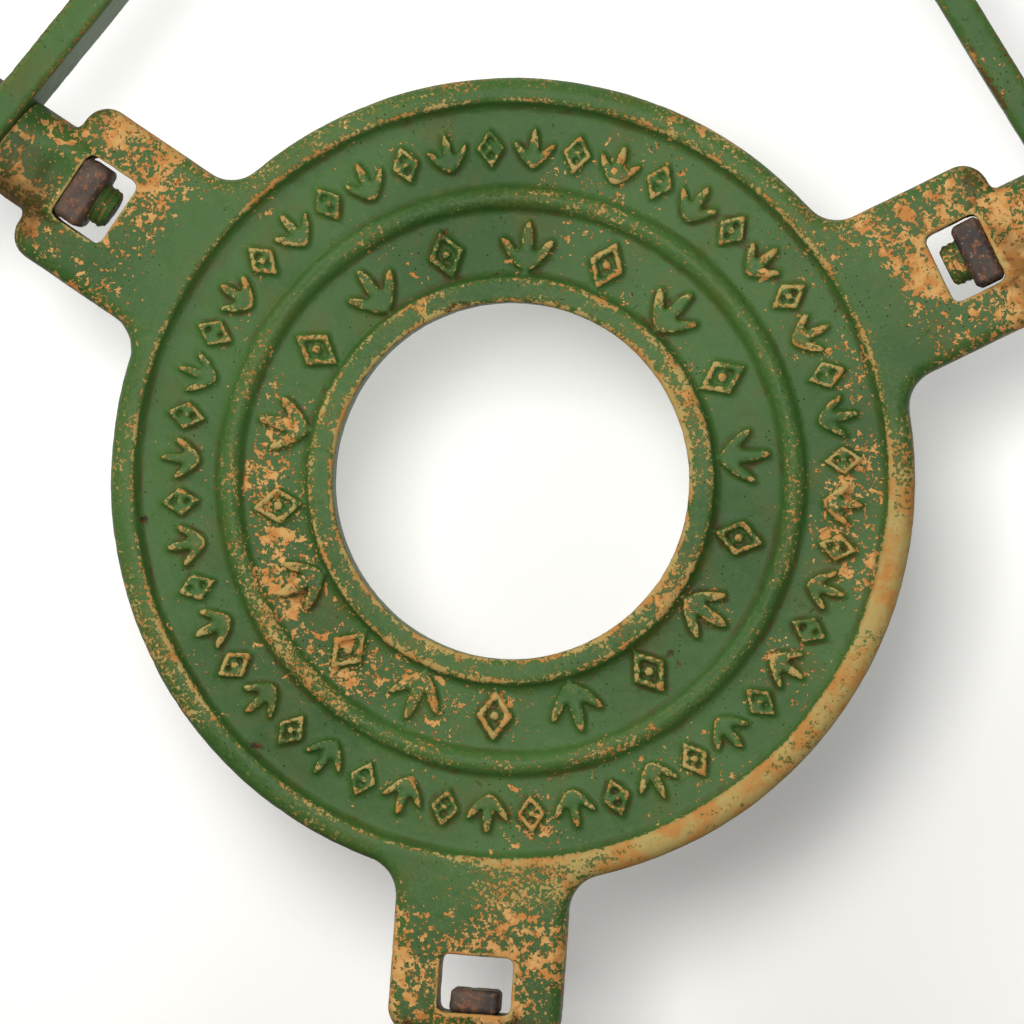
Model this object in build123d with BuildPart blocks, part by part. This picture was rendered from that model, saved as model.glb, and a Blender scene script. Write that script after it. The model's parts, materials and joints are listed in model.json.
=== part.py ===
from build123d import *
import os
from math import asin, cos, radians, sin

# A water ballast lawn roller: a hollow steel drum on a through axle, in a flat-bar frame with a T handle.
#
# Millimetres. The ground is Z = 0, and the axle lies along X, straight above the origin. The roller is
# parked, with its handle lowered along +Y until the grips rest on the ground.
#
# The drum and axle are drawn about the middle of the axle. The frame is drawn flat: X across, Y from the axle
# towards the handle, Z out of the face that the ring plate shows. Pieces that come in pairs are drawn on the
# right, at +X, and mirrored. Each group is put in its place as it is written.

os.makedirs("parts", exist_ok=True)

inch = 25.4

# Drum
drum_radius = 10 * inch
drum_half = 12 * inch
drum_wall = 4.0
edge_radius = 22.0  # rounded, so that the drum doesn't cut the turf
lip_radius = 208.0  # inner edge of the turned-in lip
dish_depth = 26.0
rivet_circle = 219.0
rivet_count = 24
rivet_radius = 4.0

# Hub and axle
axle_radius = inch / 2
axle_half = 376.0
running_gap = 0.05
loose_gap = 0.3
bush_radius = 17.0
spigot_radius = 20.0
hub_radius = 36.0
hub_flange_radius = 76.0
hub_flange_thick = 11.0
hub_end = 313.0
hub_bolt_circle = 59.0
hub_bolt_count = 6
cotter_radius = 2.5
cotter_from_end = 8.5
thrust_collar_radius = 23.0
axle_washer_radius = 22.0
axle_washer_thick = 3.0

# Filler in the right end
filler_offset = 150.0
filler_bore = 19.0
filler_boss_radius = 28.0
filler_boss_stands = 8.0  # above the face of the drum's end
plug_flange_radius = 25.0
plug_flange_thick = 5.0
plug_depth = 16.0
plug_head_width = 19.0
plug_head_tall = 12.0
filler_washer_thick = 2.0

# Frame
bar_thick = 10.0
bar_depth = 32.0
bar_round = 1.6
frame_half = 330.0  # from the middle to the inner face of a side bar
bar_foot = 34.0
crossbar_top = 290.0
crossbar_flange = 68.0
bar_lean = 35.5  # degrees between a sloping side bar and the handle
handle_length = 1225.0  # from the axle to the grip rod
shaft_rivet_places = (835.0, 965.0, 1095.0)

# Bearings, on the outer faces of the side bars
bearing_radius = 30.0
bearing_start = 322.0
bearing_end = 358.0
bearing_bolt_places = (62.0, 104.0)
crossbar_bolt_places = (236.0, 261.0)

# Ring plate
ring_radius = 117.5
ring_hole_radius = 52.0
ring_to_bar = 178.0  # from the ring's centre to the inner face of each bar
face = 6.5  # half the thickness of the rims and lugs
web_front = 3.0
web_back = -2.5
rim_width = 7.0
rim_slope = 1.5
bead_radius = 82.5
lug_angles = (30, 150, 270)
lug_half_width = 25.3
lug_end = 162.5
window_inner = 138.6
window_outer = 155.4
window_width = 21.5
boss_width = 29.0
boss_depth = 20.0
ornament_height = 1.8
outer_band_radius = 97.0
inner_band_radius = 68.5

# Fasteners
small_bolt_radius = 5.0
small_nut_width = 17.0
small_nut_thick = 7.0
hole_gap = 0.3
tip = 2.0  # how far a bolt's end stands out of its nut

# Ring bolts by the angle of their lug: radius, width and thickness of the nut, and how far the end stands out
upper_ring_bolt = (inch / 4, 19.4, 9.0, 5.6)
lower_ring_bolt = (inch * 3 / 16, 14.3, 7.0, 0)
ring_bolts = dict(zip(lug_angles, (upper_ring_bolt, upper_ring_bolt, lower_ring_bolt)))

# Grips
rod_radius = 8.0
grip_start = 16.0
grip_end = 158.0
grip_radius = 19.0
grip_straight = (62.0, 122.0)
grip_end_radius = 9.0
knob_length = 5.0
ferrule_radius = 15.5
ferrule_wall = 1.5
ferrule_length = 12.0
grip_collar_radius = 16.0
grip_washer_radius = 13.0
grip_washer_thick = 3.0
rod_nut_width = 22.0
rod_nut_thick = 10.0

# Worked out
lean = radians(bar_lean)
bar_angles = {30: bar_lean, 150: 180 - bar_lean, 270: 270}  # the way that each lug's bar faces
bar_skew = radians(bar_lean - lug_angles[0])
ring_centre = crossbar_top + ring_to_bar
end_rim = drum_half - drum_wall
end_floor = end_rim - dish_depth
park_angle = asin((drum_radius - grip_radius) / handle_length)
bend_place = ring_centre + (ring_to_bar - frame_half * cos(lean)) / sin(lean)
apex_place = ring_centre + ring_to_bar / sin(lean)
boss_face = end_floor + filler_boss_stands

at_axle = Location((0, 0, drum_radius))
at_frame = Plane(
    origin=(0, 0, drum_radius), x_dir=(1, 0, 0), z_dir=(0, sin(park_angle), cos(park_angle))
).location
at_ring = at_frame * Location((0, ring_centre, 0))


def write(piece, node, place):
    """Puts a finished piece in its place and writes it as one file."""
    placed = piece.moved(place)
    placed.label = node
    export_step(placed, f"parts/{node}.step")


def write_pair(piece, node, place):
    """Writes a right-hand piece and its mirror image."""
    write(piece, f"{node}_right", place)
    write(mirror(piece, about=Plane.YZ), f"{node}_left", place)


def facing_in(x, y):
    """A plane on the frame's right-hand side that looks back towards the middle."""
    return Plane(origin=(x, y, 0), x_dir=(0, 1, 0), z_dir=(-1, 0, 0))


def on_lug(angle, distance, outwards=1, centre=Vector(0, 0, 0)):
    """A plane square to a lug's own axis, at that distance from the ring's centre."""
    way = Vector(1, 0, 0).rotate(Axis.Z, angle)
    return Plane(origin=centre + way * distance, x_dir=Vector(0, 0, 1), z_dir=way * outwards)


def on_bar(angle, distance):
    """A plane along the bar that a lug is bolted to, that far from the ring's centre."""
    way = Vector(1, 0, 0).rotate(Axis.Z, bar_angles[angle])
    return Plane(origin=way * distance, z_dir=way)


def make_bolt(radius, length, head_width, head_thick):
    """A square-headed bolt, head up, with the underside of its head on the XY plane."""
    with BuildPart() as bolt:
        with BuildSketch():
            RectangleRounded(head_width, head_width, head_width / 12)
        extrude(amount=head_thick)
        chamfer(bolt.faces().sort_by(Axis.Z)[-1].edges(), head_thick / 6)
        with BuildSketch():
            Circle(radius)
        extrude(amount=-length)
        chamfer(bolt.faces().sort_by(Axis.Z)[0].edges(), radius / 5)
    return bolt.part


def make_nut(radius, width, thick):
    """A square nut that stands on the XY plane."""
    with BuildPart() as nut:
        with BuildSketch():
            RectangleRounded(width, width, width / 10)
        extrude(amount=thick)
        chamfer(nut.faces().filter_by(Axis.Z).edges(), thick / 7)
        with BuildSketch():
            Circle(radius)
        extrude(amount=thick, mode=Mode.SUBTRACT)
    return nut.part


def make_rivet(radius, grip):
    """A round-headed rivet down from the XY plane, through that thickness, with a head at each end."""
    head = radius * 1.7
    dome = radius * 0.75
    ball = (head**2 + dome**2) / (2 * dome)
    with BuildPart() as rivet:
        with Locations((0, 0, dome - ball)):
            Sphere(ball)
        split(bisect_by=Plane.XY, keep=Keep.TOP)
        mirror(about=Plane.XY.offset(-grip / 2))
        with BuildSketch():
            Circle(radius)
        extrude(amount=-grip)
    return rivet.part


def make_tube(inner, outer, start, end):
    """A washer, bush or tube round the X axis."""
    with BuildPart() as tube:
        with BuildSketch(Plane.YZ.offset(start)):
            Circle(outer)
            Circle(inner, mode=Mode.SUBTRACT)
        extrude(amount=end - start)
    return tube.part


def make_sprig(tall):
    """Three leaves that spread from one foot, pointing out along X."""
    half = tall / 2
    with BuildSketch() as sprig:
        Ellipse(half, tall * 0.12)
        for turn in (-38, 38):
            way = Vector(1, 0, 0).rotate(Axis.Z, turn) * half * 0.85
            with Locations(Location((way.X - half, way.Y, 0), turn)):
                Ellipse(half * 0.8, tall * 0.1)
    return sprig.sketch


def make_lozenge(tall):
    """A hollow lozenge with a bead in it, its long way along X."""
    half = tall / 2
    with BuildSketch() as lozenge:
        Polygon((half, 0), (0, tall * 0.36), (-half, 0), (0, -tall * 0.36))
        Polygon((half * 0.62, 0), (0, tall * 0.22), (-half * 0.62, 0), (0, -tall * 0.22), mode=Mode.SUBTRACT)
        Circle(tall * 0.09)
    return lozenge.sketch


# Drum shell: one rolled plate, its edges turned in round a radius to a flat lip
with BuildPart() as drum_shell:
    with BuildSketch():
        with BuildLine():
            FilletPolyline(
                (-drum_half, lip_radius),
                (-drum_half, drum_radius),
                (drum_half, drum_radius),
                (drum_half, lip_radius),
                radius=edge_radius,
            )
            offset(amount=drum_wall, side=Side.RIGHT)
        make_face()
    revolve(axis=Axis.X)
    with BuildSketch(Plane.YZ):
        with PolarLocations(rivet_circle, rivet_count):
            Circle(rivet_radius + running_gap)
    extrude(amount=drum_half, both=True, mode=Mode.SUBTRACT)
write(drum_shell.part, "drum_shell", at_axle)

# Drum ends: pressed plates lapped behind the lips and dished, with a raised ring for stiffness
for end_name, has_filler in (("left", False), ("right", True)):
    with BuildPart() as drum_end:
        with BuildSketch():
            with BuildLine():
                FilletPolyline(
                    (end_rim, drum_radius - edge_radius - 1),
                    (end_rim, lip_radius - 4),
                    (end_floor, lip_radius - 20),
                    (end_floor, 116),
                    (end_floor + 5, 109),
                    (end_floor + 5, 94),
                    (end_floor, 87),
                    (end_floor, spigot_radius + hole_gap),
                    radius=5,
                )
                offset(amount=drum_wall, side=Side.RIGHT)
            make_face()
        revolve(axis=Axis.X)
        with BuildSketch(Plane.YZ.offset(end_floor - 2 * drum_wall)):
            with PolarLocations(rivet_circle, rivet_count):
                Circle(rivet_radius + running_gap)
            with PolarLocations(hub_bolt_circle, hub_bolt_count, start_angle=30):
                Circle(small_bolt_radius + hole_gap)
            if has_filler:
                with Locations((0, filler_offset)):
                    Circle(filler_boss_radius)
        extrude(amount=2 * dish_depth, mode=Mode.SUBTRACT)
    end_plate = drum_end.part if has_filler else mirror(drum_end.part, about=Plane.YZ)
    write(end_plate, f"drum_end_{end_name}", at_axle)

rim_rivet = make_rivet(rivet_radius, 2 * drum_wall)
with BuildPart(Plane.YZ.offset(drum_half)) as rim_rivets:
    with PolarLocations(rivet_circle, rivet_count):
        add(rim_rivet)
write_pair(rim_rivets.part, "rim_rivets", at_axle)

# Hubs: cast iron, with ribs between the bolts and a spigot through the drum's end
flange_face = end_floor + hub_flange_thick
with BuildPart() as hub:
    with BuildSketch():
        with BuildLine():
            Polyline(
                (end_floor - 14, bush_radius),
                (end_floor - 14, spigot_radius),
                (end_floor, spigot_radius),
                (end_floor, hub_flange_radius),
                (flange_face - 3, hub_flange_radius),
                (flange_face, hub_flange_radius - 3),
                (flange_face, hub_radius),
                (hub_end - 2, hub_radius - 6),
                (hub_end, hub_radius - 8),
                (hub_end, bush_radius),
                close=True,
            )
        make_face()
    revolve(axis=Axis.X)
    with BuildSketch(*[Plane.XY.rotated((60 * rib, 0, 0)) for rib in range(hub_bolt_count)]):
        Polygon(
            (flange_face - 1, hub_radius - 10),
            (flange_face - 1, hub_flange_radius - 5),
            (flange_face + 3, hub_flange_radius - 5),
            (hub_end - 5, hub_radius - 5),
            (hub_end - 5, hub_radius - 10),
            align=None,
        )
    extrude(amount=3.5, both=True)
    with BuildSketch(Plane.YZ.offset(end_floor - 1)):
        with PolarLocations(hub_bolt_circle, hub_bolt_count, start_angle=30):
            Circle(small_bolt_radius + hole_gap)
    extrude(amount=hub_flange_thick + 2, mode=Mode.SUBTRACT)
write_pair(hub.part, "hub", at_axle)

write_pair(make_tube(axle_radius + running_gap, bush_radius, end_floor - 14, hub_end), "bush", at_axle)

hub_bolt = make_bolt(
    small_bolt_radius, hub_flange_thick + drum_wall + small_nut_thick + tip, small_nut_width, small_nut_thick
)
hub_nut = make_nut(small_bolt_radius, small_nut_width, small_nut_thick)
with BuildPart(Plane.YZ.offset(flange_face)) as hub_bolts:
    with PolarLocations(hub_bolt_circle, hub_bolt_count, start_angle=30):
        add(hub_bolt)
write_pair(hub_bolts.part, "hub_bolts", at_axle)
with BuildPart(facing_in(end_floor - drum_wall, 0)) as hub_nuts:
    with PolarLocations(hub_bolt_circle, hub_bolt_count, start_angle=30):
        add(hub_nut)
write_pair(hub_nuts.part, "hub_nuts", at_axle)

# A tube round the axle keeps the water in the drum
tube_half = end_floor - drum_wall
centre_tube = make_tube(spigot_radius + hole_gap, spigot_radius + 5, -tube_half, tube_half)
write(centre_tube, "centre_tube", at_axle)

# Filler: a boss through the right-hand end, closed by a plug on a washer
with BuildPart() as filler_boss:
    with BuildSketch(Plane.YZ.offset(end_floor - 2 * drum_wall)):
        with Locations((0, filler_offset)):
            Circle(filler_boss_radius)
            Circle(filler_bore, mode=Mode.SUBTRACT)
    extrude(amount=filler_boss_stands + 2 * drum_wall)
    chamfer(filler_boss.edges().filter_by(GeomType.CIRCLE).sort_by(Axis.X)[-1], 1.5)
write(filler_boss.part, "filler_boss", at_axle)

with BuildPart() as filler_washer:
    with BuildSketch(Plane.YZ.offset(boss_face)):
        with Locations((0, filler_offset)):
            Circle(plug_flange_radius)
            Circle(filler_bore + 0.4, mode=Mode.SUBTRACT)
    extrude(amount=filler_washer_thick)
write(filler_washer.part, "filler_washer", at_axle)

plug_seat = boss_face + filler_washer_thick
with BuildPart() as filler_plug:
    with BuildSketch(Plane.YZ.offset(plug_seat)):
        with Locations((0, filler_offset)):
            Circle(filler_bore - loose_gap)
    extrude(amount=-plug_depth)
    chamfer(filler_plug.faces().sort_by(Axis.X)[0].edges(), 1.5)
    with BuildSketch(Plane.YZ.offset(plug_seat)):
        with Locations((0, filler_offset)):
            Circle(plug_flange_radius)
    extrude(amount=plug_flange_thick)
    chamfer(filler_plug.faces().sort_by(Axis.X)[-1].edges(), 1.2)
    with BuildSketch(Plane.YZ.offset(plug_seat + plug_flange_thick)):
        with Locations((0, filler_offset)):
            RectangleRounded(plug_head_width, plug_head_width, 2)
    extrude(amount=plug_head_tall)
    chamfer(filler_plug.faces().sort_by(Axis.X)[-1].edges(), 1.5)
write(filler_plug.part, "filler_plug", at_axle)

# Axle: a plain shaft, kept in by a washer and a split pin at each end
pin_place = axle_half - cotter_from_end
with BuildPart() as axle_shaft:
    with BuildSketch(Plane.YZ):
        Circle(axle_radius)
    extrude(amount=axle_half, both=True)
    chamfer(axle_shaft.edges().filter_by(GeomType.CIRCLE), 2)
    with BuildSketch(Plane.XY):
        with Locations((-pin_place, 0), (pin_place, 0)):
            Circle(cotter_radius + hole_gap)
    extrude(amount=axle_radius + 1, both=True, mode=Mode.SUBTRACT)
write(axle_shaft.part, "axle_shaft", at_axle)

axle_bore = axle_radius + hole_gap
collar = make_tube(axle_bore, thrust_collar_radius, hub_end + loose_gap, bearing_start - loose_gap)
write_pair(collar, "thrust_collar", at_axle)
washer_start = bearing_end + loose_gap
axle_washer = make_tube(axle_bore, axle_washer_radius, washer_start, washer_start + axle_washer_thick)
write_pair(axle_washer, "axle_washer", at_axle)

pin_top = axle_radius + 5
with BuildPart() as cotter_pin:
    with BuildSketch(Plane.XY.offset(pin_top)):
        with Locations((pin_place, 0)):
            Circle(cotter_radius)
    extrude(amount=-2 * pin_top)
    with BuildSketch(Plane.XZ):
        with Locations((pin_place, pin_top + 4)):
            Circle(5.5)
            Circle(2.8, mode=Mode.SUBTRACT)
    extrude(amount=cotter_radius - 0.3, both=True)
write_pair(cotter_pin.part, "cotter_pin", at_axle)

# Side bars: up from the axle, in over the ring plate, then back to back as the handle's shaft
with BuildPart() as side_bar:
    with BuildSketch():
        with BuildLine():
            FilletPolyline(
                (frame_half, bar_foot),
                (frame_half, bend_place),
                (0, apex_place),
                (0, handle_length + bar_depth / 2),
                radius=(55, 80),
            )
            offset(amount=bar_thick, side=Side.RIGHT)
        make_face()
    extrude(amount=bar_depth / 2, both=True)
    ends = side_bar.edges().filter_by(Axis.X).group_by(Axis.Y)
    fillet(ends[0] + ends[-1], bar_depth / 2 - 1)
    fillet(side_bar.faces().filter_by(Axis.Z).edges(), bar_round)
    with BuildSketch(Plane.YZ):
        with Locations(*[(place, 0) for place in bearing_bolt_places + crossbar_bolt_places]):
            Circle(small_bolt_radius + hole_gap)
        with Locations(*[(place, 0) for place in shaft_rivet_places]):
            Circle(small_bolt_radius + running_gap)
        with Locations((handle_length, 0)):
            Circle(rod_radius + hole_gap)
    extrude(amount=frame_half + 2 * bar_thick, mode=Mode.SUBTRACT)
    with BuildSketch(on_lug(lug_angles[0], ring_to_bar - bar_thick, centre=Vector(0, ring_centre, 0))):
        Circle(upper_ring_bolt[0] + hole_gap)
    extrude(amount=4 * bar_thick, mode=Mode.SUBTRACT)
write_pair(side_bar.part, "side_bar", at_frame)

shaft_rivet = make_rivet(small_bolt_radius, 2 * bar_thick)
with BuildPart(Plane.YZ.offset(bar_thick)) as shaft_rivets:
    with Locations(*[(place, 0) for place in shaft_rivet_places]):
        add(shaft_rivet)
write(shaft_rivets.part, "shaft_rivets", at_frame)

# Crossbar: flat bar with its ends turned down along the insides of the side bars
flange_end = crossbar_top - crossbar_flange
with BuildPart() as crossbar:
    with BuildSketch():
        with BuildLine():
            FilletPolyline(
                (-frame_half, flange_end),
                (-frame_half, crossbar_top),
                (frame_half, crossbar_top),
                (frame_half, flange_end),
                radius=16,
            )
            offset(amount=bar_thick, side=Side.RIGHT)
        make_face()
    extrude(amount=bar_depth / 2, both=True)
    fillet(crossbar.edges().filter_by(Axis.X).group_by(Axis.Y)[0], 6)
    fillet(crossbar.faces().filter_by(Axis.Z).edges(), bar_round)
    with BuildSketch(Plane.YZ):
        with Locations(*[(place, 0) for place in crossbar_bolt_places]):
            Circle(small_bolt_radius + hole_gap)
    extrude(amount=frame_half + 1, both=True, mode=Mode.SUBTRACT)
    with BuildSketch(Plane.XZ.offset(-crossbar_top - 1)):
        Circle(lower_ring_bolt[0] + hole_gap)
    extrude(amount=bar_thick + 2, mode=Mode.SUBTRACT)
write(crossbar.part, "crossbar", at_frame)

frame_bolt = make_bolt(
    small_bolt_radius, 2 * bar_thick + small_nut_thick + tip, small_nut_width, small_nut_thick
)
with BuildPart(Plane.YZ.offset(frame_half + bar_thick)) as crossbar_bolts:
    with Locations(*[(place, 0) for place in crossbar_bolt_places]):
        add(frame_bolt)
write_pair(crossbar_bolts.part, "crossbar_bolts", at_frame)
crossbar_nut_planes = [facing_in(frame_half - bar_thick, place) for place in crossbar_bolt_places]
with BuildPart(*crossbar_nut_planes) as crossbar_nuts:
    add(hub_nut)
write_pair(crossbar_nuts.part, "crossbar_nuts", at_frame)

# Bearings: cast iron eyes for the axle, each with a tail bolted to the outside of its bar
tail_face = frame_half + 2 * bar_thick
tail_end = bearing_bolt_places[-1] + 20
oiler_place = (bearing_start + bearing_end) / 2
with BuildPart() as bearing:
    with BuildSketch(Plane.YZ.offset(frame_half + bar_thick)):
        with Locations((tail_end / 2, 0)):
            Rectangle(tail_end, 40)
    extrude(amount=bar_thick)
    fillet(bearing.edges().filter_by(Axis.X).group_by(Axis.Y)[-1], 16)
    with BuildSketch(Plane.YZ.offset(bearing_start)):
        Circle(bearing_radius)
    extrude(amount=bearing_end - bearing_start)
    with BuildSketch(Plane.XY):
        with Locations((oiler_place, 0)):
            Circle(8)
    extrude(amount=bearing_radius + 4)
    with BuildSketch(Plane.YZ.offset(bearing_start)):
        Circle(axle_radius + running_gap)
        with Locations(*[(place, 0) for place in bearing_bolt_places]):
            Circle(small_bolt_radius + hole_gap)
    extrude(amount=bearing_end - bearing_start, mode=Mode.SUBTRACT)
    with BuildSketch(Plane.XY):
        with Locations((oiler_place, 0)):
            Circle(2.5)
    extrude(amount=bearing_radius + 4, mode=Mode.SUBTRACT)
write_pair(bearing.part, "bearing", at_frame)

with BuildPart(Plane.YZ.offset(tail_face)) as bearing_bolts:
    with Locations(*[(place, 0) for place in bearing_bolt_places]):
        add(frame_bolt)
write_pair(bearing_bolts.part, "bearing_bolts", at_frame)
with BuildPart(*[facing_in(frame_half, place) for place in bearing_bolt_places]) as bearing_nuts:
    add(hub_nut)
write_pair(bearing_nuts.part, "bearing_nuts", at_frame)

# Ring plate: one iron casting, two rims with a recessed web between them and three lugs bolted to the bars
with BuildSketch() as lug_outline:
    with Locations(((ring_hole_radius + lug_end) / 2, 0)):
        Rectangle(lug_end - ring_hole_radius, 2 * lug_half_width)
    fillet(lug_outline.vertices().group_by(Axis.X)[-1], 7.5)
    with Locations((lug_end, 0)):
        Rectangle(2 * (ring_to_bar - lug_end) + 10, boss_width - 3)
    boss_roots = lug_outline.vertices().filter_by_position(Axis.X, lug_end - 0.1, lug_end + 0.1)
    fillet([v for v in boss_roots if abs(v.Y) < boss_width / 2], 4)

with BuildPart() as ring_plate:
    with BuildSketch(Plane.XY.offset(-face)) as outline:
        Circle(ring_radius)
        with PolarLocations(0, len(lug_angles), start_angle=lug_angles[0]):
            add(lug_outline.sketch)
        on_rim = [v for v in outline.vertices() if abs(Vector(v).length - ring_radius) < 0.5]
        fillet(on_rim, 11)
        Circle(ring_radius - 6, mode=Mode.SUBTRACT)
    extrude(amount=2 * face)
    top_and_bottom = ring_plate.faces().filter_by(Axis.Z)
    fillet([edge for side in top_and_bottom for edge in side.outer_wire().edges()], 4)

    # The ring's section, from the hole to the rim
    with BuildSketch(Plane.XZ) as section:
        with BuildLine():
            Polyline(
                (ring_hole_radius, -face),
                (ring_hole_radius, face),
                (ring_hole_radius + rim_width, face),
                (ring_hole_radius + rim_width + rim_slope, web_front),
                (ring_radius - rim_width - rim_slope, web_front),
                (ring_radius - rim_width, face),
                (ring_radius - rim_width + 3, face),
                (ring_radius - rim_width + 3, -face),
                (ring_radius - rim_width, -face),
                (ring_radius - rim_width - rim_slope, web_back),
                (ring_hole_radius + rim_width + rim_slope, web_back),
                (ring_hole_radius + rim_width, -face),
                close=True,
            )
        make_face()
        inner_corners = [v for v in section.vertices() if v.X < ring_radius - rim_width + 1]
        fillet(inner_corners, 1.3)
        with Locations((bead_radius, web_front - 0.8)):
            Circle(3.6)
    revolve(axis=Axis.Z)

    # Bosses, square to their lugs, then cut off along the bars
    with BuildSketch(*[on_lug(angle, window_outer - 3) for angle in lug_angles]):
        RectangleRounded(boss_depth, boss_width, boss_depth / 2 - 0.5)
    extrude(amount=ring_to_bar - window_outer + 12)
    for angle in lug_angles:
        split(bisect_by=on_bar(angle, ring_to_bar), keep=Keep.BOTTOM)

    # Windows for the nuts, and the bolt holes through the bosses
    with BuildSketch():
        with PolarLocations((window_inner + window_outer) / 2, len(lug_angles), start_angle=lug_angles[0]):
            RectangleRounded(window_outer - window_inner, window_width, 2.2)
    extrude(amount=boss_depth, both=True, mode=Mode.SUBTRACT)
    for angle, (bolt_radius, *_) in ring_bolts.items():
        with BuildSketch(on_lug(angle, window_outer - 2)):
            Circle(bolt_radius + hole_gap)
        extrude(amount=ring_to_bar, mode=Mode.SUBTRACT)

    # Raised ornament: sprigs and lozenges by turns, in both bands
    with BuildSketch(Plane.XY.offset(web_front - 0.5)):
        for radius, tall, count in ((outer_band_radius, 11.7, 24), (inner_band_radius, 15.0, 9)):
            step = 360 / count
            with PolarLocations(radius, count, start_angle=90):
                add(make_sprig(tall))
            with PolarLocations(radius, count, start_angle=90 + step / 2):
                add(make_lozenge(tall))
    extrude(amount=ornament_height + 0.5)
write(ring_plate.part, "ring_plate", at_ring)

# Ring bolts, with nuts held in the windows, and a tapered washer where the bar isn't square to its bolt
bar_outside = ring_to_bar + bar_thick
for name, angle in zip(("right", "left", "lower"), lug_angles):
    bolt_radius, nut_width, nut_thick, stands_out = ring_bolts[angle]
    seat = bar_outside
    if name != "lower":
        bevel_radius = 2.2 * bolt_radius
        bevel_thick = 1.4 + bevel_radius * sin(bar_skew)
        seat = bar_outside / cos(bar_skew) + bevel_thick
        with BuildPart() as bevel_washer:
            with BuildSketch(on_lug(angle, seat)):
                Circle(bevel_radius)
                Circle(bolt_radius + hole_gap, mode=Mode.SUBTRACT)
            extrude(amount=-3 * bevel_thick)
            split(bisect_by=on_bar(angle, bar_outside), keep=Keep.TOP)
        write(bevel_washer.part, f"bevel_washer_{name}", at_ring)
    bolt_length = seat - window_outer + nut_thick + stands_out
    with BuildPart(on_lug(angle, seat)) as ring_bolt:
        add(make_bolt(bolt_radius, bolt_length, nut_width + 1, nut_thick - 0.5))
    write(ring_bolt.part, f"ring_bolt_{name}", at_ring)
    with BuildPart(on_lug(angle, window_outer, outwards=-1)) as ring_nut:
        add(make_nut(bolt_radius, nut_width, nut_thick))
    write(ring_nut.part, f"ring_nut_{name}", at_ring)

# Handle: a rod across the top of the shaft, with turned wooden grips
washer_end = grip_end + grip_washer_thick
with BuildPart() as grip_rod:
    with BuildSketch(Plane.YZ):
        with Locations((handle_length, 0)):
            Circle(rod_radius)
    extrude(amount=washer_end + rod_nut_thick + 3, both=True)
    chamfer(grip_rod.edges().filter_by(GeomType.CIRCLE), 1.5)
write(grip_rod.part, "grip_rod", at_frame)

at_rod = at_frame * Location((0, handle_length, 0))
grip_bore = rod_radius + hole_gap
write_pair(make_tube(grip_bore, grip_collar_radius, bar_thick, grip_start), "grip_collar", at_rod)

ferrule_end = grip_start + ferrule_length
ferrule_bore = ferrule_radius - ferrule_wall
palm_start, palm_end = grip_straight
knob_start = grip_end - knob_length
knob_radius = grip_radius - 4
with BuildPart() as grip:
    with BuildSketch():
        with BuildLine():
            Polyline(
                (ferrule_end, grip_bore),
                (grip_start, grip_bore),
                (grip_start, ferrule_bore),
                (ferrule_end, ferrule_bore),
                (ferrule_end, ferrule_radius),
            )
            Spline((ferrule_end, ferrule_radius), (palm_start, grip_radius), tangents=((1, 0.05), (1, 0)))
            Line((palm_start, grip_radius), (palm_end, grip_radius))
            Spline((palm_end, grip_radius), (knob_start, knob_radius), tangents=((1, 0), (1, -0.4)))
            ThreePointArc(
                (knob_start, knob_radius),
                (grip_end - 1.2, knob_radius - 2.5),
                (grip_end, grip_end_radius),
            )
            Polyline((grip_end, grip_end_radius), (grip_end, grip_bore), (ferrule_end, grip_bore))
        make_face()
    revolve(axis=Axis.X)
write_pair(grip.part, "grip", at_rod)
write_pair(make_tube(ferrule_bore, ferrule_radius, grip_start, ferrule_end), "grip_ferrule", at_rod)
write_pair(make_tube(grip_bore, grip_washer_radius, grip_end, washer_end), "grip_washer", at_rod)
with BuildPart(Plane.YZ.offset(washer_end)) as rod_nut:
    add(make_nut(rod_radius, rod_nut_width, rod_nut_thick))
write_pair(rod_nut.part, "rod_nut", at_rod)
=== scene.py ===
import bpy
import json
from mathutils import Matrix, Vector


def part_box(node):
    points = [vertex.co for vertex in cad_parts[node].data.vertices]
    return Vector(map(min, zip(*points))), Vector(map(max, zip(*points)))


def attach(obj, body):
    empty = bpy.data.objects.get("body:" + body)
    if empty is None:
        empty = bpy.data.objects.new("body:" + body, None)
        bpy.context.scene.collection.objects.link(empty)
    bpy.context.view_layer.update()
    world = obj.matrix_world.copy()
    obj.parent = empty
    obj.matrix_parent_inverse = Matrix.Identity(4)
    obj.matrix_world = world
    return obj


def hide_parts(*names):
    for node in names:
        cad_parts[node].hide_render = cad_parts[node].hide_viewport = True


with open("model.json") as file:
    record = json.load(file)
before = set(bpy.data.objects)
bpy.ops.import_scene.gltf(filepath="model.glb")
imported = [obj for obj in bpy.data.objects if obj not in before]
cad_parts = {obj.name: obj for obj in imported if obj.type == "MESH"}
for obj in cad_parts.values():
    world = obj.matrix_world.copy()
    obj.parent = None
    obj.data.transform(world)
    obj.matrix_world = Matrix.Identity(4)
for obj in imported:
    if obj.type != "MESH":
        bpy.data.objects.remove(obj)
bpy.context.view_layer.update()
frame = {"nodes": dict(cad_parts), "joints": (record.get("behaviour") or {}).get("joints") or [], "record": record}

import json
import math

import bmesh
import bpy
from mathutils import Matrix, Vector, noise

# places taken from the frame

joints = {joint["name"]: joint for joint in frame["joints"]}
mounts = {mount["name"]: mount for mount in frame["record"]["mounts"]}
axleLine = Vector(joints["drum_roll"]["pos_m"])
ringCentre = Vector(mounts["ring_hole"]["pos_m"])
gripLine = Vector(mounts["grip_right"]["pos_m"])
across = Vector((1, 0, 0))
ringOut = Vector(mounts["ring_hole"]["axis"]).normalized()  # out of the ring plate's front
upHandle = ringOut.cross(across)  # along the frame, from the axle to the grips
frameLean = math.atan2(ringOut.y, ringOut.z)


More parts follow.
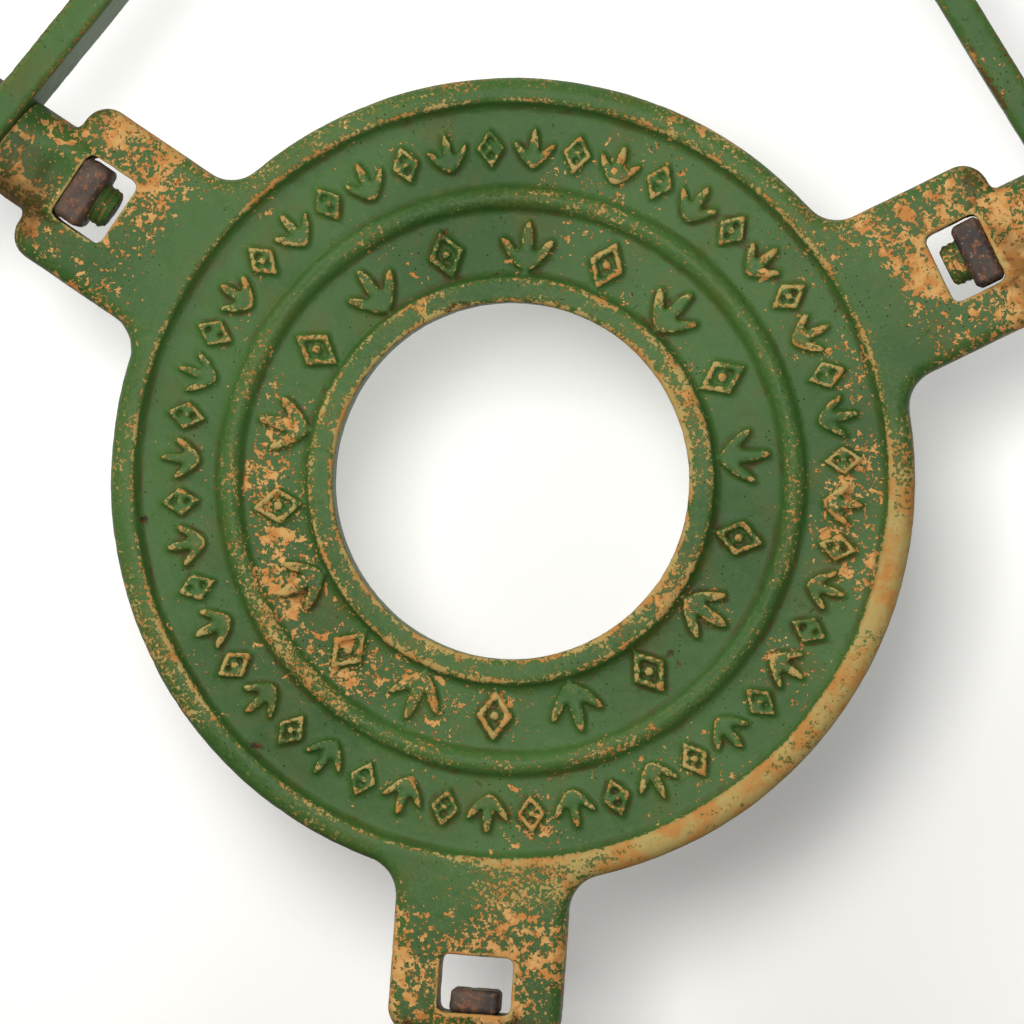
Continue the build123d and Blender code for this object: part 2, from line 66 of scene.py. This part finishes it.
def middle(node):
    low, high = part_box(node)
    return (low + high) / 2


# camera, floor and light

mainView = {"turn": 4.0, "sideways": 4.5, "field": 0.2985, "lens": 300.0, "drop": 0.00904}


def makeCamera():
    turn, sideways = math.radians(mainView["turn"]), math.radians(mainView["sideways"])
    back = ringOut * math.cos(sideways) + across * math.sin(sideways)
    up = upHandle * math.cos(turn) - across * math.sin(turn)
    up = (up - back * up.dot(back)).normalized()
    camera = bpy.data.objects.new("camera", bpy.data.cameras.new("camera"))
    camera.data.lens = mainView["lens"]
    camera.data.clip_end = 200
    distance = camera.data.lens / camera.data.sensor_width * mainView["field"]
    place = ringCentre - up * mainView["drop"] + back * distance
    camera.matrix_world = Matrix.Translation(place) @ Matrix((up.cross(back), up, back)).transposed().to_4x4()
    bpy.context.scene.collection.objects.link(camera)
    bpy.context.scene.camera = camera
    return up, back


lighting = {
    "key": {"lean": 7.5, "bearing": 128.0, "distance": 2.2, "size": 0.42, "watts": 38.0,
            "tint": (1.0, 0.985, 0.96)},
    "rake": {"lean": 60.0, "bearing": 135.0, "distance": 2.4, "size": 0.8, "watts": 34.0,
             "tint": (1.0, 0.99, 0.96)},
    "fill": {"lean": 35.0, "bearing": -40.0, "distance": 3.0, "size": 2.4, "watts": 6.0,
             "tint": (0.96, 0.98, 1.0)},
    "world": {"tint": (0.97, 0.985, 1.0), "strength": 0.3},
    "floor": {"glow": 0.13, "half": 40},  # a light table: it keeps the shadows pale
}


def makeLight(name, up, back):
    values = lighting[name]
    lean, bearing = math.radians(values["lean"]), math.radians(values["bearing"])
    right = up.cross(back)
    sideways = right * math.cos(bearing) + up * math.sin(bearing)
    aim = back * math.cos(lean) + sideways * math.sin(lean)
    light = bpy.data.objects.new(name, bpy.data.lights.new(name, "AREA"))
    light.data.size = values["size"]
    light.data.energy = values["watts"]
    light.data.color = values["tint"]
    light.matrix_world = (Matrix.Translation(ringCentre + aim * values["distance"])
                          @ aim.to_track_quat("Z", "Y").to_matrix().to_4x4())
    bpy.context.scene.collection.objects.link(light)


def makeFloor():
    work = bmesh.new()
    bmesh.ops.create_grid(work, x_segments=1, y_segments=1, size=lighting["floor"]["half"])
    mesh = bpy.data.meshes.new("floor")
    work.to_mesh(mesh)
    work.free()
    floor = bpy.data.objects.new("floor", mesh)
    bpy.context.scene.collection.objects.link(floor)
    return floor


imageUp, imageBack = makeCamera()
for lightName in ("key", "rake", "fill"):
    makeLight(lightName, imageUp, imageBack)
floor = makeFloor()
world = bpy.data.worlds.new("studio")
world.use_nodes = True
world.node_tree.nodes["Background"].inputs["Color"].default_value = (*lighting["world"]["tint"], 1.0)
world.node_tree.nodes["Background"].inputs["Strength"].default_value = lighting["world"]["strength"]
bpy.context.scene.world = world
bpy.context.scene.view_settings.view_transform = "Standard"
print("camera, lights and floor are in place")


# shader helpers: a socket that takes part in sums, and one maker for every node

def screenColour(value):
    if isinstance(value, Wire):
        return value
    shares = [part / 255 for part in value]
    return (*[s / 12.92 if s <= 0.04045 else ((s + 0.055) / 1.055) ** 2.4 for s in shares], 1.0)


class Wire:
    def __init__(self, paint, socket):
        self.paint = paint
        self.socket = socket

    def math(self, operation, *others):
        return self.paint.make("ShaderNodeMath", {"operation": operation}, [self, *others])

    def __add__(self, other):
        return self.math("ADD", other)

    def __sub__(self, other):
        return self.math("SUBTRACT", other)

    def __mul__(self, other):
        return self.math("MULTIPLY", other)

    def __rsub__(self, other):
        return self.paint.make("ShaderNodeMath", {"operation": "SUBTRACT"}, [other, self])

    __radd__ = __add__

    def most(self, other):
        return self.math("MAXIMUM", other)

    def step(self, low, high):  # 0 at low, 1 at high, smooth between
        settings = {"interpolation_type": "SMOOTHSTEP"}
        values = {"Value": self, "From Min": low, "From Max": high}
        return self.paint.make("ShaderNodeMapRange", settings, values)


class Paint:
    def __init__(self, name):
        self.material = bpy.data.materials.new(name)
        self.material.use_nodes = True
        self.tree = self.material.node_tree
        self.place = self.make("ShaderNodeTexCoord", out="Object")

    def make(self, kind, settings=None, values=(), out=0):
        node = self.tree.nodes.new(kind)
        for key, value in (settings or {}).items():
            setattr(node, key, value)
        for key, value in values.items() if isinstance(values, dict) else enumerate(values):
            if isinstance(value, Wire):
                self.tree.links.new(value.socket, node.inputs[key])
            else:
                node.inputs[key].default_value = value
        return Wire(self, node.outputs[out])

    def noise(self, scale, detail=3.0, roughness=0.55, place=None, distortion=0.0):
        values = {"Vector": place or self.place, "Scale": scale, "Detail": detail, "Roughness": roughness,
                  "Distortion": distortion}
        return self.make("ShaderNodeTexNoise", None, values)

    def cells(self, scale):
        values = {"Vector": self.place, "Scale": scale}
        return self.make("ShaderNodeTexVoronoi", None, values, "Distance")

    def moved(self, location=(0, 0, 0), turn=(0, 0, 0), scale=(1, 1, 1)):
        values = {"Vector": self.place, "Location": location, "Rotation": turn, "Scale": scale}
        return self.make("ShaderNodeMapping", None, values)

    def axes(self, place):
        node = self.tree.nodes.new("ShaderNodeSeparateXYZ")
        self.tree.links.new(place.socket, node.inputs[0])
        return [Wire(self, output) for output in node.outputs]

    def over(self, mask, below, above):  # above shows where the mask is 1
        values = {0: mask, 6: screenColour(below), 7: screenColour(above)}
        return self.make("ShaderNodeMix", {"data_type": "RGBA"}, values, 2)

    def ridge(self):
        return self.make("ShaderNodeAttribute", {"attribute_name": "ridge"}, (), "Fac")

    def bump(self, height, depth):
        return self.make("ShaderNodeBump", None, {"Strength": 1.0, "Distance": depth, "Height": height})

    def finish(self, links, **fixed):
        shader = self.tree.nodes["Principled BSDF"]
        for name, value in links.items():
            self.tree.links.new(value.socket, shader.inputs[name])
        for name, value in fixed.items():
            shader.inputs[name.replace("_", " ")].default_value = value
        return self.material


# materials. Colours are screen values from 0 to 255

oldPaint = {
    "green": (57, 87, 40), "deepGreen": (43, 72, 30), "oliveGreen": (74, 76, 26), "paleGreen": (84, 106, 54),
    "undercoat": (166, 112, 58), "undercoatPale": (182, 142, 86), "undercoatDeep": (132, 80, 42),
    "worn": (160, 138, 84), "rust": (82, 46, 24), "darkRust": (36, 25, 18), "hollowBrown": (60, 44, 18),
}


def oldGreen(name, chipping=0.5, wearing=0.5, rusting=0.3, zones=None, edge="worn", chipScale=1.0):
    p = Paint(name)
    broad = p.noise(14.0, 3.0)
    patchy = p.noise(55.0, 4.0, 0.6)
    fine = p.noise(420.0, 4.0, 0.6)
    body = p.over(broad.step(0.35, 0.7), oldPaint["green"], oldPaint["deepGreen"])
    body = p.over(patchy.step(0.5, 0.75) * 0.6, body, oldPaint["oliveGreen"])
    body = p.over(fine.step(0.5, 0.8) * 0.3, body, oldPaint["paleGreen"])
    ridge = p.ridge()
    # the zones give more chips, more wear and more of the darker brown
    moreChips, moreWear, moreDarkening = zones(p) if zones else (0.0, 0.0, 0.0)

    # chips down to the undercoat, with crisp ragged edges
    cluster = p.noise(36.0, 3.0, 0.55, distortion=0.5)
    grain = p.noise(680.0 * chipScale, 5.0, 0.66)
    flakes = p.noise(210.0 * chipScale, 5.0, 0.6, distortion=0.3)
    level = cluster * 0.5 + moreChips + chipping * 0.3
    chips = (grain + level).step(1.06, 1.08).most((flakes + level).step(1.09, 1.1))
    chipTone = p.over(p.noise(230.0).step(0.35, 0.65), oldPaint["undercoat"], oldPaint["undercoatPale"])
    chipTone = p.over(p.noise(700.0).step(0.55, 0.7), chipTone, oldPaint["undercoatDeep"])

    # wear along edges and on what stands proud
    scuff = p.noise(900.0, 4.0, 0.7)
    worn = ridge * 0.45 + scuff * 1.05 + cluster * 0.6 + moreWear + wearing * 0.3
    bareEdge = worn.step(1.28, 1.35)
    wornTone = p.over(p.noise(150.0, 4.0, 0.6).step(0.4, 0.65), oldPaint[edge], oldPaint["undercoat"])

    # darker brown patches in the hollows and where the zones ask for more, rust spots and small dark pits
    hollowDarkening = (ridge * -1.0 + moreDarkening).step(0.15, 0.8) * p.noise(42.0, 3.0, 0.6).step(0.4, 0.6)
    rust = (p.noise(90.0, 5.0, 0.6) + p.noise(15.0, 2.0) * 0.5 + rusting * 0.2).step(1.0, 1.07)
    pits = p.cells(520.0).step(0.17, 0.06) * p.noise(60.0, 2.0).step(0.48, 0.62)

    tone = p.over(worn.step(1.06, 1.36) * 0.4, body, oldPaint["paleGreen"])
    tone = p.over(chips, tone, chipTone)
    tone = p.over(bareEdge * 0.85, tone, wornTone)
    # darker brown in patches over the hollows and at the lug ends
    tone = p.over(hollowDarkening * 0.75, tone, oldPaint["hollowBrown"])
    tone = p.over(rust * 0.9, tone, p.over(grain.step(0.4, 0.6), oldPaint["rust"], oldPaint["darkRust"]))
    tone = p.over(pits * 0.85, tone, oldPaint["darkRust"])
    bare = chips.most(bareEdge)
    roughness = 0.4 + bare * 0.35 + rust * 0.2 + fine * 0.12
    height = (1.0 - bare) * 0.5 + grain * 0.4 + p.noise(900.0, 3.0, 0.6) * 0.12 - rust * 0.25 - pits * 0.6
    return p.finish({"Base Color": tone, "Roughness": roughness, "Normal": p.bump(height, 0.00025)},
                    Specular_IOR_Level=0.12)


ringBands = {  # distances from the ring's centre at which each band starts to count, and counts in full
    "lug": (0.118, 0.13), "rim": (0.1055, 0.111), "holeRim": (0.0605, 0.0575), "insideBead": (0.08, 0.074),
    "outsideBead": (0.086, 0.092), "lugEnd": (0.153, 0.16),
}
bead = {"radius": 0.0825, "width": (0.005, 0.003)}
zoneSides = {  # the way each zone lies, across and up, then where it starts and where it counts in full
    "lowerRight": (0.75, -0.66, 0.05, 0.1), "lowerLeft": (-0.8, -0.35, 0.03, 0.06),
    "right": (1.0, -0.3, 0.07, 0.1),
}
chipShares = {"lug": 0.115, "lowerLeft": 0.085, "right": 0.05}
wearShares = {"rim": 0.12, "holeRim": 0.16, "bead": 0.09, "lowerRight": 0.24, "lug": 0.1}


def ringZones(p):  # where the ring plate has lost more of its paint, and where it turns darker brown at the lug ends
    centre = (0, -ringCentre.dot(upHandle), -ringCentre.dot(ringOut))
    x, y = p.axes(p.moved(location=centre, turn=(frameLean, 0, 0)))[:2]

    def towards(side):
        acrossShare, upShare, start, whole = zoneSides[side]
        return (x * acrossShare + y * upShare).step(start, whole)

    radius = (x * x + y * y).math("SQRT")
    lug = radius.step(*ringBands["lug"])
    rim = radius.step(*ringBands["rim"]) * (1.0 - lug)
    holeRim = radius.step(*ringBands["holeRim"])
    beadTop = (radius - bead["radius"]).math("ABSOLUTE").step(*bead["width"])
    lowerLeft = towards("lowerLeft") * radius.step(*ringBands["insideBead"])
    right = towards("right") * radius.step(*ringBands["outsideBead"]) * (1.0 - rim)
    chips = lug * chipShares["lug"] + lowerLeft * chipShares["lowerLeft"] + right * chipShares["right"]
    wear = rim * wearShares["rim"] + holeRim * wearShares["holeRim"] + beadTop * wearShares["bead"]
    wear = wear + rim * towards("lowerRight") * wearShares["lowerRight"] + lug * wearShares["lug"]
    return chips, wear, radius.step(*ringBands["lugEnd"]) * 0.9


rustTones = {"brown": (76, 58, 44), "dark": (36, 28, 24), "bright": (124, 76, 44), "pale": (150, 108, 70)}


def rustyIron(name, metallic=0.2):
    p = Paint(name)
    grain = p.noise(420.0, 6.0, 0.65)
    tone = p.over(p.noise(60.0, 4.0, 0.6).step(0.36, 0.62), rustTones["brown"], rustTones["dark"])
    tone = p.over(grain.step(0.5, 0.66) * 0.7, tone, rustTones["bright"])
    tone = p.over(p.noise(850.0).step(0.62, 0.7) * 0.6, tone, rustTones["pale"])
    height = grain * 0.7 + p.noise(1500.0) * 0.3
    return p.finish({"Base Color": tone, "Roughness": grain * 0.35 + 0.5, "Normal": p.bump(height, 0.00025)},
                    Metallic=metallic)


drumTones = {"steel": (112, 92, 76), "brown": (84, 60, 44), "streak": (128, 110, 94), "rust": (128, 76, 42),
             "scratch": (158, 148, 136)}
drumEnds = (0.255, 0.3)  # distances from the middle between which more paint is left


def drumSteel(name):
    p = Paint(name)
    endwise = p.axes(p.place)[0].math("ABSOLUTE")
    grain = p.noise(380.0, 5.0, 0.65)
    rolling = p.noise(12.0, 5.0, 0.6, p.moved(scale=(9.0, 0.6, 0.6)))
    scratches = p.noise(40.0, 4.0, 0.6, p.moved(scale=(9.0, 0.25, 0.25)))
    broad = p.noise(5.5, 5.0, 0.62, distortion=0.6)
    tone = p.over(broad.step(0.38, 0.62), drumTones["steel"], drumTones["brown"])
    tone = p.over(rolling.step(0.48, 0.7) * 0.35, tone, drumTones["streak"])
    tone = p.over(p.noise(70.0, 5.0, 0.65).step(0.48, 0.62) * 0.5, tone, drumTones["brown"])
    tone = p.over(grain.step(0.5, 0.7) * 0.65, tone, drumTones["rust"])
    tone = p.over(scratches.step(0.62, 0.72) * 0.4, tone, drumTones["scratch"])
    keeping = p.noise(8.0, 7.0, 0.68, p.moved((3.1, 1.7, 0.4))) + endwise.step(*drumEnds) * 0.2
    left = keeping.step(0.62, 0.64)  # paint that is left, most of it near the ends
    tone = p.over(left, tone, p.over(grain.step(0.4, 0.7), oldPaint["green"], oldPaint["deepGreen"]))
    height = grain * 0.5 + left * 0.5 + scratches * 0.25
    return p.finish({"Base Color": tone, "Roughness": grain * 0.3 + 0.4, "Metallic": (1.0 - left) * 0.6,
                     "Normal": p.bump(height, 0.0003)})


def dullMetal(name, tone, dull, roughness, metallic=0.9):
    p = Paint(name)
    broad = p.noise(45.0, 4.0, 0.6)
    grain = p.noise(500.0, 5.0, 0.6)
    shade = p.over(broad.step(0.35, 0.7), tone, dull)
    shade = p.over(grain.step(0.55, 0.75) * 0.5, shade, dull)
    return p.finish({"Base Color": shade, "Roughness": broad * 0.25 + roughness,
                     "Normal": p.bump(grain, 0.00008)}, Metallic=metallic)


woodTones = {"early": (166, 120, 76), "late": (126, 84, 50), "pore": (84, 56, 36), "grime": (68, 50, 38)}
heartOffset = Vector((0, 0.006, 0.011))  # from the middle of the grips to the heart of the tree


def ashWood(name):
    p = Paint(name)
    heart = (0, heartOffset.y - gripLine.y, heartOffset.z - gripLine.z)
    values = {"Vector": p.moved(location=heart, scale=(0.1, 1.0, 1.0)), "Scale": 75.0, "Distortion": 3.5,
              "Detail": 3.0, "Detail Scale": 30.0}
    rings = p.make("ShaderNodeTexWave", {"wave_type": "RINGS", "rings_direction": "X"}, values, "Fac")
    pores = p.noise(1000.0, 4.0, 0.6, p.moved(scale=(0.04, 1.0, 1.0)))
    tone = p.over(rings, woodTones["early"], woodTones["late"])
    tone = p.over(pores.step(0.52, 0.66) * 0.7, tone, woodTones["pore"])
    tone = p.over(p.noise(26.0, 4.0, 0.6).step(0.45, 0.7) * 0.6, tone, woodTones["grime"])
    return p.finish({"Base Color": tone, "Roughness": pores * 0.25 + 0.36,
                     "Normal": p.bump(pores * -0.6 + rings * 0.2, 0.0003)})


def oiledLeather(name):
    p = Paint(name)
    grain = p.cells(700.0)
    tone = p.over(p.noise(200.0).step(0.4, 0.65), (78, 52, 36), (44, 30, 22))
    return p.finish({"Base Color": tone, "Roughness": grain * -0.2 + 0.7, "Normal": p.bump(grain, 0.0002)})


def paleFloor(name):
    p = Paint(name)
    tone = p.over(p.noise(3.0, 3.0).step(0.3, 0.7), (244, 244, 243), (241, 241, 240))
    return p.finish({"Base Color": tone}, Roughness=0.9, Specular_IOR_Level=0.1,
                    Emission_Color=(1.0, 1.0, 1.0, 1.0), Emission_Strength=lighting["floor"]["glow"])


finishes = {
    "ring_paint": oldGreen("ringPaint", chipping=0.5, wearing=0.5, rusting=0.3, zones=ringZones),
    "cast_paint": oldGreen("castPaint", chipping=0.6, wearing=0.6, rusting=0.5),
    "bar_paint": oldGreen("barPaint", chipping=0.35, wearing=0.55, rusting=0.45, edge="rust", chipScale=0.8),
    "end_paint": oldGreen("endPaint", chipping=0.45, wearing=0.6, rusting=0.6, chipScale=0.7),
    "bolt_paint": oldGreen("boltPaint", chipping=0.75, wearing=0.75, rusting=0.9, edge="rust"),
    "drum_steel": drumSteel("drumSteel"),
    "rusty_steel": rustyIron("rustyIron"),
    "bare_steel": dullMetal("bareSteel", (150, 144, 136), (92, 82, 74), 0.3),
    "bronze": dullMetal("bronze", (168, 128, 76), (108, 78, 46), 0.34),
    "brass": dullMetal("brass", (176, 144, 84), (104, 84, 50), 0.32),
    "leather": oiledLeather("oiledLeather"),
    "ash_wood": ashWood("ashWood"),
}
floor.data.materials.append(paleFloor("paleFloor"))
print("materials are made")


# weathered pieces: a copy of a part's own surface, remade fine enough to wear down

def linked(name, mesh):
    piece = bpy.data.objects.new(name, mesh)
    bpy.context.scene.collection.objects.link(piece)
    return piece


def settle(piece):  # applies the modifiers
    graph = bpy.context.evaluated_depsgraph_get()
    shaped = piece.evaluated_get(graph)
    mesh = bpy.data.meshes.new_from_object(shaped, preserve_all_data_layers=True, depsgraph=graph)
    piece.modifiers.clear()
    piece.data = mesh


def smoothed(work, times):
    for _ in range(times):
        bmesh.ops.smooth_vert(work, verts=work.verts, factor=0.5, use_axis_x=True, use_axis_y=True,
                              use_axis_z=True)


def markRidges(work, reach, full):  # 1 on an edge that stands proud, -1 in a corner
    flat = work.copy()
    smoothed(flat, reach)
    ridge = work.verts.layers.float.new("ridge")
    for vertex, soft in zip(work.verts, flat.verts):
        height = (vertex.co - soft.co).dot(vertex.normal) / full
        vertex[ridge] = max(-1.0, min(1.0, height))
    flat.free()


lugWays = [(middle("ring_nut_" + place) - ringCentre).normalized() for place in ("left", "right", "lower")]
scoop = {"place": 0.1605, "length": 0.0055, "width": 0.0085, "depth": 0.0024, "fade": 0.005}


def scooped(point):  # the casting sinks a little between each window and its boss
    local = point - ringCentre
    height = local.dot(ringOut)
    for way in lugWays:
        along = (local.dot(way) - scoop["place"]) / scoop["length"]
        sideways = local.dot(way.cross(ringOut)) / scoop["width"]
        if height > 0:
            drop = scoop["depth"] * math.exp(-along * along - sideways * sideways)
            point = point - ringOut * drop * min(1.0, height / scoop["fade"])
    return point


surface = {"weld": 0.000002, "swell": 25.0, "ripple": 90.0, "pit": 330.0, "most": 190000}


def weather(node, body, slot, voxel, rounding=2, wavy=0.0002, pitted=0.00012, reach=8, full=0.0003,
            finish=None, shape=None):
    mesh = frame["nodes"][node].data.copy()
    work = bmesh.new()
    work.from_mesh(mesh)
    bmesh.ops.remove_doubles(work, verts=work.verts, dist=surface["weld"])
    work.to_mesh(mesh)
    work.free()
    piece = linked(node + "_worn", mesh)
    remesh = piece.modifiers.new("remesh", "REMESH")
    remesh.mode = "VOXEL"
    remesh.voxel_size = voxel
    settle(piece)
    work = bmesh.new()
    work.from_mesh(piece.data)
    smoothed(work, rounding)
    work.normal_update()
    for vertex in work.verts:
        place = vertex.co
        lift = wavy * (noise.noise(place * surface["swell"]) + 0.5 * noise.noise(place * surface["ripple"]))
        lift -= pitted * max(0.0, noise.noise(place * surface["pit"]) - 0.1) * 2.0
        vertex.co = place + vertex.normal * lift
        if shape:
            vertex.co = shape(vertex.co)
    work.normal_update()
    markRidges(work, reach, full)
    for face in work.faces:
        face.smooth = True
    work.to_mesh(piece.data)
    triangles = sum(len(face.verts) - 2 for face in work.faces)
    work.free()
    if triangles > surface["most"]:
        thin = piece.modifiers.new("thin", "DECIMATE")
        thin.ratio = surface["most"] / triangles
        settle(piece)
    piece.data.materials.clear()
    piece.data.materials.append(finishes[finish or slot])
    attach(piece, body)
    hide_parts(node)


weather("ring_plate", "frame", "cast_paint", 0.00065, reach=9, full=0.00028, finish="ring_paint",
        shape=scooped)
print("ring plate")

for side in ("left", "right"):
    weather("side_bar_" + side, "frame", "bar_paint", 0.0012, rounding=1, reach=3)
weather("crossbar", "frame", "bar_paint", 0.0016, rounding=1, reach=3, full=0.0004)
print("bars")

thread = {"pitch": 25.4 / 13 / 1000, "depth": 0.00042, "nutHalf": 0.0047}


def threaded(node):  # cuts a screw thread into the end that stands out of the nut
    nutPlace = middle(node.replace("bolt", "nut"))
    axis = (ringCentre - nutPlace).normalized()
    axis = (axis - ringOut * axis.dot(ringOut)).normalized()
    sideways = ringOut.cross(axis)

    def cut(point):
        offset = point - nutPlace
        along = offset.dot(axis)
        if along < thread["nutHalf"]:
            return point
        radial = offset - axis * along
        turn = math.atan2(radial.dot(sideways), radial.dot(ringOut)) / math.tau
        wave = abs((along / thread["pitch"] + turn) % 1.0 - 0.5) * 2.0
        return point - radial.normalized() * thread["depth"] * (1.0 - wave)

    return cut


for place in ("left", "right", "lower"):
    bolt, nut = "ring_bolt_" + place, "ring_nut_" + place
    weather(bolt, "frame", "rusty_steel", 0.0005, rounding=1, reach=4, full=0.00015, finish="bolt_paint",
            shape=threaded(bolt))
    weather(nut, "frame", "rusty_steel", 0.0005, reach=5, full=0.0002, pitted=0.0002)
print("ring bolts")

for side in ("left", "right"):
    weather("bevel_washer_" + side, "frame", "rusty_steel", 0.0006, rounding=1)
    weather("bearing_" + side, "frame", "cast_paint", 0.0012, reach=4, full=0.0004)
    weather("hub_" + side, "drum", "end_paint", 0.0016, reach=4, full=0.0005)
print("bearings and hubs")


# drum shell, spun from half its section and dented by use

drumSkin = {"radius": axleLine.z, "lip": 0.208, "edge": 0.022, "wall": 0.004, "steps": 192, "runs": 56,
            "wavy": 0.0006, "deepest": 0.0035, "weld": 0.000005}


def makeDrumShell():
    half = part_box("drum_shell")[1].x
    work = bmesh.new()
    lip, face = drumSkin["lip"], drumSkin["radius"]
    corners = [(-half, lip), (-half, face), (half, face), (half, lip)]
    line = [work.verts.new((x, 0, axleLine.z + z)) for x, z in corners]
    for pair in zip(line, line[1:]):
        work.edges.new(pair)
    bmesh.ops.bevel(work, geom=line[1:3], offset=drumSkin["edge"], affect="VERTICES", segments=7, profile=0.5,
                    material=-1)
    longest = max(work.edges, key=lambda edge: edge.calc_length())
    bmesh.ops.subdivide_edges(work, edges=[longest], cuts=drumSkin["runs"])
    bmesh.ops.spin(work, geom=work.verts[:] + work.edges[:], cent=axleLine, axis=across, angle=math.tau,
                   steps=drumSkin["steps"], use_merge=True)
    bmesh.ops.remove_doubles(work, verts=work.verts, dist=drumSkin["weld"])
    bmesh.ops.recalc_face_normals(work, faces=work.faces)
    for vertex in work.verts:
        outwards = vertex.co - axleLine
        outwards.x = 0
        if outwards.length > face - drumSkin["wall"] / 2:
            wave = noise.noise(vertex.co * 6.0) * drumSkin["wavy"]
            knock = max(0.0, noise.noise(vertex.co * 9.0 + Vector((7, 3, 1))) - 0.42) * 5.0
            vertex.co -= outwards.normalized() * (abs(wave) + min(1.0, knock) * drumSkin["deepest"])
    for patch in work.faces:
        patch.smooth = True
    mesh = bpy.data.meshes.new("drum_shell_worn")
    work.to_mesh(mesh)
    work.free()
    piece = linked("drum_shell_worn", mesh)
    wall = piece.modifiers.new("wall", "SOLIDIFY")
    wall.thickness = drumSkin["wall"]
    wall.offset = -1
    settle(piece)
    piece.data.materials.append(finishes["drum_steel"])
    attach(piece, "drum")
    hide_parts("drum_shell")


makeDrumShell()
print("drum shell")

# the other parts keep their shape and get their finish

slots = {part["node"]: part["material_slot"] for part in frame["record"]["subparts"]}
for name, node in frame["nodes"].items():
    node.data.materials.clear()
    node.data.materials.append(finishes[slots[name]])
print("finishes are on")
